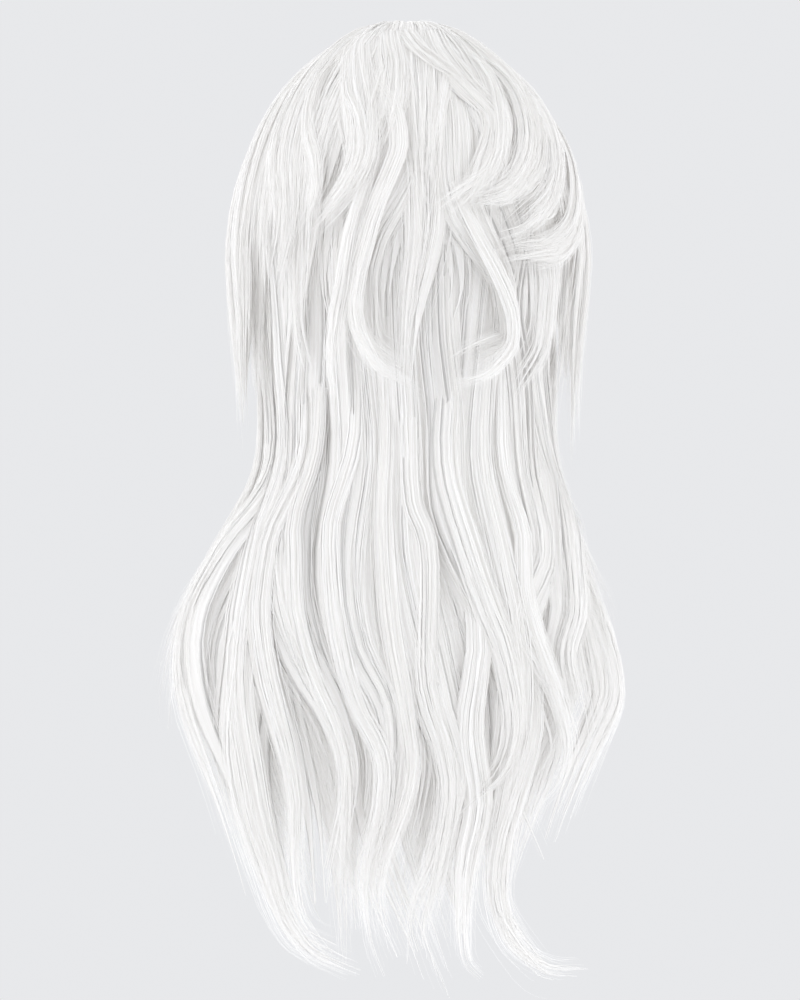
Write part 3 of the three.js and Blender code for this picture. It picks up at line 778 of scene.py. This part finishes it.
def hair_row(name, layer, locks, per_lock, strands, seed, rise_by=ROOT_RISE, fill=(), cover=(), over=()):
    """A row of hair: its locks, the low ones that fill the gaps between them, the smooth cover over the
    roots, and the thin curls and waves that lie on top."""
    guides = wisps(layer, locks, per_lock, seed, rise_by)
    guides += wisps(layer, fill, THIN_LOCK_WISPS, seed + FILL_SEED, rise_by, True)
    guides += wisps("cover", cover, per_lock, seed + COVER_SEED, rise_by / 2)
    guides += wisps("wave" if layer == "mid" else "over", over, THIN_LOCK_WISPS, seed + OVER_SEED, 0)
    values = {
        "Strands": strands,
        "Radius": STRAND_RADIUS,
        "Loose": STRAND_LOOSE,
        "Seed": SEED + 10 * seed,
        "Material": WHITE_HAIR,
    }
    piece = grown(name + "_hair", guide_mesh(name, guides), HAIR_TREE, values)
    piece.data.shade_smooth()
    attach(piece, "root")
    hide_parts(name)
    return piece


WAVE_FALL = 1.6
WAVE_SHIFT = 0.6
DRAWN_FROM = 2.1
DRAWN_FULL = 3


def hanging_locks(count, middle, spread, root, tip, shorter, sway, drawn, width):
    """Locks in even waves, spread either side of a middle, drawn together towards their tips, the outer ones
    shorter."""
    locks = []
    for i in range(count):
        aside = 2 * i / (count - 1) - 1
        end = tip - shorter * aside * aside
        bends = round((end - root) / (WAVE_FALL / 4))
        route = []
        for k in range(bends + 1):
            fall = lerp(root, end, k / bends)
            wave = math.sin(2 * math.pi * (fall - root) / WAVE_FALL + WAVE_SHIFT * i)
            free = smooth(fall, root, 2 * NAPE_FALL - root)
            together = lerp(1, drawn, smooth(fall, DRAWN_FROM, DRAWN_FULL))
            route.append(((middle + spread * aside) * together + sway * wave * free, fall))
        locks.append((route, width, 0))
    return locks


NAPE_LOCKS = hanging_locks(
    count=4, middle=2, spread=36, root=1.24, tip=3.2, shorter=0.3, sway=7, drawn=0.75, width=0.042
)
hair_row("weft_nape", "nape", NAPE_LOCKS, 9, 26, 1)

# The next row up at the back: white fibre sewn in a weft round the net, level with the tops of the ears. It
# lies over the nape row and fills the back down to the tips.
BACK_LOCKS = hanging_locks(
    count=7, middle=0, spread=59, root=1.04, tip=3.2, shorter=0.4, sway=8, drawn=0.68, width=0.044
)
hair_row("weft_back_low", "low", BACK_LOCKS, 9, 28, 2)

# The side rows: white fibre sewn in short wefts above the ears. They fall behind the shoulders and spread
# over them, and below the neck the right one is carried further to the back than the left.
SIDE_LOCKS = hanging_locks(
    count=4, middle=94, spread=22, root=0.86, tip=2.5, shorter=0.25, sway=5, drawn=0.85, width=0.035
)
RIGHT_BACK = 0.5
CARRIED_FROM = 1.3
CARRIED_FULL = 2.2


def mirrored(locks):
    return [([(-around, fall) for around, fall in route], width, flick) for route, width, flick in locks]


def carried_back(locks):
    made = []
    for route, width, flick in locks:
        shares = [lerp(1, RIGHT_BACK, smooth(fall, CARRIED_FROM, CARRIED_FULL)) for _, fall in route]
        carried = [(around * share, fall) for (around, fall), share in zip(route, shares)]
        made.append((carried, width, flick))
    return made


hair_row("weft_side_left", "side", SIDE_LOCKS, 9, 26, 3)
hair_row("weft_side_right", "side", carried_back(mirrored(SIDE_LOCKS)), 9, 26, 4)

# The long outer locks of the back: white fibre sewn in the highest weft. Each lock falls in its own slow wave
# to a curved tip, from the wearer's right to the left, and thin waves lie on top of them.
# Each row of a table of locks is a route, a width and how far the tip turns outwards.
LONG_LOCKS = [
    (
        [
            (-74, 0.68), (-64, 1.1), (-60, 1.4), (-73, 1.7), (-54, 1.94), (-46, 2.1), (-39, 2.25),
            (-42, 2.49), (-39, 2.62),
        ],
        0.038,
        0,
    ),
    (
        [
            (-52, 0.68), (-46, 1), (-42, 1.25), (-50, 1.61), (-41, 1.92), (-28, 2.14), (-35, 2.36),
            (-38, 2.54), (-28, 2.72),
        ],
        0.038,
        0,
    ),
    (
        [
            (-32, 0.68), (-30, 1.25), (-27, 1.95), (-26, 2.42), (-21, 2.8), (-21, 3), (-31, 3.17),
            (-43, 3.2),
        ],
        0.036,
        0.2,
    ),
    (
        [
            (-13, 0.68), (-11, 1.25), (-15, 1.55), (-14, 1.8), (-19, 2.02), (-25, 2.3), (-22, 2.56),
            (-11, 2.7),
        ],
        0.036,
        0.15,
    ),
    (
        [
            (5, 0.68), (4, 1.25), (2, 1.6), (1, 1.95), (-6, 2.36), (-11, 2.6), (-7, 2.82),
            (-1, 3.05), (-7, 3.27),
        ],
        0.036,
        0,
    ),
    (
        [
            (23, 0.68), (22, 1.25), (20, 1.6), (18, 1.94), (12, 2.2), (4, 2.42), (5, 2.7),
            (10, 2.92), (2, 3.23),
        ],
        0.042,
        0,
    ),
    (
        [
            (42, 0.68), (44, 1.25), (49, 1.6), (38, 1.94), (25, 2.22), (16, 2.42), (13, 2.62),
            (18, 2.92), (20, 3.08),
        ],
        0.044,
        0,
    ),
    (
        [
            (58, 0.68), (57, 1.25), (54, 1.75), (42, 2.2), (42, 2.56), (35, 2.84), (26, 3.08),
            (12, 3.18),
        ],
        0.038,
        0,
    ),
    (
        [
            (76, 0.68), (70, 1.05), (63, 1.35), (61, 1.7), (73, 1.97), (68, 2.22), (57, 2.45),
            (45, 2.7), (37, 2.95),
        ],
        0.04,
        0,
    ),
]
LONG_WAVES = [
    (
        [
            (35, 1.25), (37, 1.55), (39, 1.77), (33, 1.95), (27, 2.14), (21, 2.32), (16, 2.46),
            (14, 2.62), (15, 2.87), (18, 2.94),
        ],
        0.011,
        0,
    ),
    (
        [
            (20, 1.2), (20, 1.55), (24, 1.77), (22, 1.92), (15, 2.23), (11, 2.39), (6, 2.53),
            (6, 2.67), (9, 2.9), (8, 3.08), (5, 3.19),
        ],
        0.012,
        0,
    ),
    (
        [
            (10, 1.25), (8, 1.55), (8, 1.77), (4, 2.14), (0, 2.43), (-1, 2.57), (1, 2.7), (6, 2.92),
            (4, 3.12),
        ],
        0.01,
        0,
    ),
    (
        [
            (0, 1.2), (0, 1.58), (-1, 1.77), (-5, 1.92), (-4, 2.3), (-8, 2.51), (-9, 2.67),
            (-5, 2.98), (-4, 3.1), (-6, 3.22),
        ],
        0.013,
        0,
    ),
    (
        [
            (-18, 1.2), (-15, 1.45), (-14, 1.7), (-19, 2.05), (-22, 2.2), (-24, 2.36), (-24, 2.48),
            (-21, 2.58), (-16, 2.65), (-11, 2.69),
        ],
        0.015,
        0.16,
    ),
    (
        [
            (-38, 1.2), (-38, 1.55), (-37, 1.83), (-31, 2.05), (-32, 2.2), (-35, 2.34), (-38, 2.52),
            (-35, 2.63), (-29, 2.7),
        ],
        0.01,
        0,
    ),
    (
        [
            (46, 1.95), (43, 2.2), (40, 2.45), (36, 2.7), (32, 2.85), (28, 3.01), (21, 3.12),
            (12, 3.17), (6, 3.18),
        ],
        0.016,
        0,
    ),
    (
        [
            (-30, 2.2), (-29, 2.45), (-25, 2.63), (-21, 2.79), (-20, 2.94), (-23, 3.08),
            (-29, 3.15), (-36, 3.18), (-45, 3.19),
        ],
        0.01,
        0,
    ),
    (
        [
            (44, 1.2), (43, 1.58), (46, 1.83), (41, 2.05), (35, 2.26), (29, 2.48), (26, 2.67),
            (26, 2.85), (24, 3.01), (18, 3.13),
        ],
        0.016,
        0,
    ),
    (
        [
            (-18, 1.95), (-17, 2.2), (-14, 2.45), (-16, 2.67), (-13, 2.85), (-12, 3.01),
            (-13, 3.15), (-19, 3.23),
        ],
        0.014,
        0,
    ),
]
hair_row("weft_back_high", "mid", LONG_LOCKS, 6, 23, 5, fill=between(LONG_LOCKS), over=LONG_WAVES)

# The short layer over the crown: white fibre tied singly to the net, cut to the nape and turned in or out
# at the tips. A smooth cover lies over its roots, and three hooked curls on top.
CROWN_LOCKS = [
    ([(-84, 0.28), (-83, 0.6), (-80, 1), (-78, 1.3), (-72, 1.52)], 0.04, 0),
    ([(-48, 0.27), (-54, 0.66), (-56, 0.97), (-60, 1.15), (-56, 1.33), (-43, 1.46)], 0.038, 0),
    (
        [
            (-17, 0.26), (-20, 0.6), (-18, 0.88), (-24, 1.01), (-35, 1.16), (-35, 1.3), (-12, 1.41),
        ],
        0.032,
        0.12,
    ),
    ([(4, 0.26), (-3, 0.66), (-5, 1), (0, 1.25), (2, 1.42)], 0.036, 0),
    (
        [
            (26, 0.26), (10, 0.5), (2, 0.68), (6, 0.85), (15, 1.02), (17, 1.15), (12, 1.32),
            (-7, 1.45),
        ],
        0.03,
        0.12,
    ),
    ([(50, 0.27), (44, 0.66), (40, 1), (42, 1.25), (36, 1.46)], 0.038, 0),
    ([(84, 0.28), (77, 0.6), (68, 1), (70, 1.3), (66, 1.54)], 0.04, 0),
]
CROWN_COVER = [
    ([(-150, 0.12), (-100, 0.06), (-70, 0.3), (-62, 0.6), (-60, 1.0)], 0.036, 0),
    ([(-160, 0.09), (-90, 0.04), (-38, 0.28), (-34, 0.55), (-32, 0.95)], 0.036, 0),
    ([(180, 0.08), (-60, 0.03), (-14, 0.25), (-9, 0.5), (-6, 0.9)], 0.034, 0),
    ([(180, 0.08), (40, 0.03), (8, 0.25), (12, 0.5), (16, 0.95)], 0.034, 0),
    ([(165, 0.09), (70, 0.05), (33, 0.28), (32, 0.55), (32, 1.0)], 0.036, 0),
    ([(158, 0.11), (90, 0.08), (60, 0.32), (55, 0.6), (52, 1.1)], 0.038, 0),
]
CROWN_CURLS = [
    (
        [
            (25, 0.32), (14, 0.48), (6, 0.58), (3, 0.68), (4, 0.77), (12, 0.96), (17, 1.18),
            (14, 1.3), (8, 1.38), (-6, 1.45),
        ],
        0.0085,
        0,
    ),
    (
        [
            (-15, 0.85), (-19, 0.93), (-25, 1.02), (-31, 1.12), (-35, 1.21), (-35, 1.3),
            (-28, 1.37), (-19, 1.4), (-10, 1.41),
        ],
        0.007,
        0,
    ),
    ([(9, 0.71), (14, 0.84), (18, 0.97), (21, 1.12), (24, 1.24), (26, 1.38), (23, 1.47)], 0.008, 0),
]
SHORT_RISE = 0.014
hair_row(
    "crown_layer",
    "crown",
    CROWN_LOCKS,
    8,
    28,
    6,
    SHORT_RISE,
    fill=between(CROWN_LOCKS),
    cover=CROWN_COVER,
    over=CROWN_CURLS,
)

# The outer hair: white fibre tied along the middle parting. On the wearer's left it falls to flicked tips,
# on the right it sweeps back over the crown in nested arcs, and thin curls lie on both.
LEFT_TOP_LOCKS = [
    ([(22, 0.17), (11, 0.32), (6, 0.46), (6, 0.6), (10, 0.72)], 0.024, 0),
    ([(42, 0.14), (38, 0.3), (25, 0.48), (18, 0.62), (16, 0.77), (22, 0.88), (32, 0.97)], 0.03, 0),
    ([(90, 0.055), (62, 0.3), (56, 0.5), (50, 0.72), (43, 0.94), (49, 1.13)], 0.038, 0),
    ([(172, 0.165), (84, 0.42), (70, 0.8), (69, 1.15), (73, 1.5)], 0.042, 0.1),
    ([(176, 0.27), (108, 0.5), (92, 0.85), (88, 1.2), (86, 1.42), (80, 1.6)], 0.042, 0.1),
    ([(177, 0.38), (130, 0.6), (110, 0.95), (104, 1.25), (99, 1.52)], 0.04, 0.1),
    ([(178, 0.48), (147, 0.68), (128, 0.95), (119, 1.2), (114, 1.42)], 0.036, 0.1),
]
RIGHT_TOP_LOCKS = [
    (
        [
            (-32, 0.14), (-21, 0.34), (-27, 0.5), (-35, 0.62), (-30, 0.73), (-21, 0.84), (-12, 0.9),
        ],
        0.024,
        0.1,
    ),
    (
        [
            (-90, 0.055), (-66, 0.3), (-65, 0.46), (-57, 0.61), (-46, 0.76), (-32, 0.85),
            (-18, 0.88),
        ],
        0.03,
        0.12,
    ),
    ([(-172, 0.165), (-95, 0.34), (-80, 0.54), (-66, 0.72), (-50, 0.86), (-30, 0.95)], 0.03, 0.12),
    ([(-176, 0.27), (-112, 0.48), (-86, 0.72), (-70, 0.9), (-52, 1.0), (-26, 1.02)], 0.032, 0.12),
    ([(-177, 0.38), (-120, 0.58), (-94, 0.9), (-86, 1.2), (-84, 1.45), (-86, 1.64)], 0.044, 0.1),
    ([(-178, 0.48), (-147, 0.68), (-124, 0.95), (-110, 1.2), (-102, 1.46)], 0.04, 0.1),
]
LEFT_CURLS = [
    ([(31, 0.25), (27, 0.5), (18, 0.64), (16, 0.75), (20, 0.84), (26, 0.9), (31, 0.95)], 0.01, 0),
    ([(57, 0.25), (45, 0.5), (38, 0.66), (31, 0.77), (30, 0.87), (35, 0.95)], 0.009, 0),
]
RIGHT_CURLS = [
    ([(21, 0.06), (-3, 0.29), (-12, 0.4), (-21, 0.47), (-28, 0.52), (-31, 0.56)], 0.01, 0),
    ([(-25, 0.17), (-41, 0.34), (-40, 0.5), (-35, 0.64), (-30, 0.75), (-23, 0.82), (-8, 0.9)], 0.012, 0),
    (
        [
            (-45, 0.21), (-55, 0.46), (-50, 0.63), (-43, 0.74), (-34, 0.82), (-24, 0.86),
            (-17, 0.87),
        ],
        0.012,
        0,
    ),
    ([(-67, 0.29), (-71, 0.54), (-63, 0.71), (-51, 0.85), (-38, 0.93), (-25, 0.96)], 0.013, 0),
    ([(-87, 0.37), (-87, 0.63), (-74, 0.8), (-60, 0.93), (-45, 0.99), (-32, 1.01)], 0.013, 0),
]
LEFT_FILL = between(LEFT_TOP_LOCKS)
RIGHT_FILL = between(RIGHT_TOP_LOCKS)
hair_row("top_left", "top", LEFT_TOP_LOCKS, 10, 30, 7, SHORT_RISE, fill=LEFT_FILL, over=LEFT_CURLS)
hair_row("top_right", "top", RIGHT_TOP_LOCKS, 10, 30, 8, SHORT_RISE, fill=RIGHT_FILL, over=RIGHT_CURLS)

# The locks that frame the face: white fibre tied by hand into the lace, swept aside, with tips that turn out
# at the jaw. They are longer on the wearer's left.
LEFT_FRAMING_LOCKS = [
    ([(141, 0.8), (127, 1.02), (114, 1.3), (103, 1.65), (97, 2.05), (95, 2.45)], 0.034, 0),
    ([(155, 0.69), (140, 0.9), (127, 1.15), (116, 1.45), (109, 1.8), (108, 2.15)], 0.032, 0.3),
    ([(174, 0.61), (153, 0.82), (140, 1.06), (132, 1.35), (133, 1.62)], 0.03, 0.5),
]
RIGHT_FRAMING_LOCKS = [
    ([(-141, 0.8), (-127, 1.02), (-114, 1.3), (-103, 1.6), (-99, 1.85)], 0.034, 0),
    ([(-155, 0.69), (-140, 0.9), (-127, 1.15), (-116, 1.45), (-112, 1.7)], 0.032, 0.3),
    ([(-174, 0.61), (-153, 0.82), (-140, 1.06), (-132, 1.35), (-133, 1.55)], 0.03, 0.5),
]
hair_row("front_left", "front", LEFT_FRAMING_LOCKS, 8, 28, 9, SHORT_RISE)
hair_row("front_right", "front", RIGHT_FRAMING_LOCKS, 8, 28, 10, SHORT_RISE)

# The lace front: a sheer strip of beige net from ear to ear that carries the hairline. Its thread is knitted
# in hexagons about 2 mm wide, bound along both edges by a thicker thread.
LACE_END = 108
EDGE_STEP = 20
LACE_EDGES = {
    "front": (139, 138, 131, 118, 99, 97, 106, 82, 65, 58),
    "back": (90, 90, 90, 90, 90, 86, 77, 56, 42, 36),
}
LACE_CELL = 0.0023
LACE_THREAD = 0.00013
LACE_MIDDLE = 0.0006
LACE_SIDE_REACH = 1.25
LACE_BACK_REACH = 0.4
BORDER_STEPS = 180
BORDER_INSET = 0.6
BORDER_WEIGHT = 2.2


def lace_edge(side, around):
    return spline(LACE_EDGES[side], abs(around) / EDGE_STEP)


def lace_threads():
    """The net's corners and threads: hexagons laid out on the flat chart of the cap, kept where they lie on
    the lace, and its two edges."""
    unit = LACE_CELL / (CAP_HALF_LENGTH * math.pi / 2)
    column, row = unit / 2, unit / (2 * math.sqrt(3))
    points, edges, found = [], [], {}

    def corner(i, j):
        if (i, j) not in found:
            around, fall = unchart(Vector((i * column, j * row)))
            angle = 90 * fall
            low, high = lace_edge("back", around), lace_edge("front", around)
            on_lace = abs(around) > LACE_END and low < angle < high
            found[i, j] = None
            if on_lace:
                found[i, j] = len(points)
                points.append(cap_point(around, angle, LACE_MIDDLE))
        return found[i, j]

    columns = round(LACE_SIDE_REACH / column)
    for i in range(-columns, columns):
        for j in range(-round(LACE_SIDE_REACH / row / 3), round(LACE_BACK_REACH / row / 3)):
            if (i + j) % 2 == 0:
                top, bottom = corner(i, 3 * j + 1), corner(i, 3 * j - 1)
                left, right = corner(i - 1, 3 * j - 2), corner(i + 1, 3 * j - 2)
                if bottom is not None:
                    edges += [(bottom, other) for other in (top, left, right) if other is not None]
    return points, edges


def lace_border(side):
    span = 360 - 2 * LACE_END
    places = [LACE_END + span * k / BORDER_STEPS for k in range(BORDER_STEPS + 1)]
    places = [around if around <= 180 else around - 360 for around in places]
    inset = BORDER_INSET if side == "back" else -BORDER_INSET
    return [cap_point(around, lace_edge(side, around) + inset, LACE_MIDDLE) for around in places]


def net_tree():
    tree = bpy.data.node_groups.new("net", "GeometryNodeTree")
    for label, kind, direction in (
        ("Lines", "NodeSocketGeometry", "INPUT"),
        ("Radius", "NodeSocketFloat", "INPUT"),
        ("Material", "NodeSocketMaterial", "INPUT"),
        ("Net", "NodeSocketGeometry", "OUTPUT"),
    ):
        tree.interface.new_socket(label, in_out=direction, socket_type=kind)
    given = tree.nodes.new("NodeGroupInput").outputs
    result = tree.nodes.new("NodeGroupOutput")
    curves = node(tree, "GeometryNodeMeshToCurve", None, Mesh=given["Lines"]).outputs[0]
    ring = node(tree, "GeometryNodeCurvePrimitiveCircle", None, Resolution=3, Radius=1.0).outputs[0]
    weight = node(tree, "GeometryNodeInputNamedAttribute", {"data_type": "FLOAT"}, Name="weight")
    weight = next(s for s in weight.outputs if s.enabled and s.name == "Attribute")
    girth = node(tree, "ShaderNodeMath", {"operation": "MULTIPLY"}, _0=weight, _1=given["Radius"]).outputs[0]
    tubes = node(tree, "GeometryNodeCurveToMesh", None, _0=curves, _1=ring, Scale=girth).outputs[0]
    real = node(tree, "GeometryNodeRealizeInstances", None, Geometry=tubes).outputs[0]
    final = node(tree, "GeometryNodeSetMaterial", None, Geometry=real, Material=given["Material"])
    tree.links.new(final.outputs[0], result.inputs[0])
    return tree


lace_points, lace_edges = lace_threads()
lace_weights = [1.0] * len(lace_points)
for side in ("front", "back"):
    border = lace_border(side)
    lace_edges += [(len(lace_points) + k, len(lace_points) + k + 1) for k in range(len(border) - 1)]
    lace_points += border
    lace_weights += [BORDER_WEIGHT] * len(border)
lace_lines = bpy.data.meshes.new("lace_lines")
lace_lines.from_pydata(lace_points, lace_edges, [])
lace_weight = lace_lines.attributes.new("weight", "FLOAT", "POINT")
lace_weight.data.foreach_set("value", lace_weights)
lace_material, _, _ = new_material("lace", (0.78, 0.7, 0.6), 0.7)
lace_values = {"Radius": LACE_THREAD, "Material": lace_material}
lace_net = grown("lace_net", lace_lines, net_tree(), lace_values)
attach(lace_net, "root")
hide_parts("lace_front")
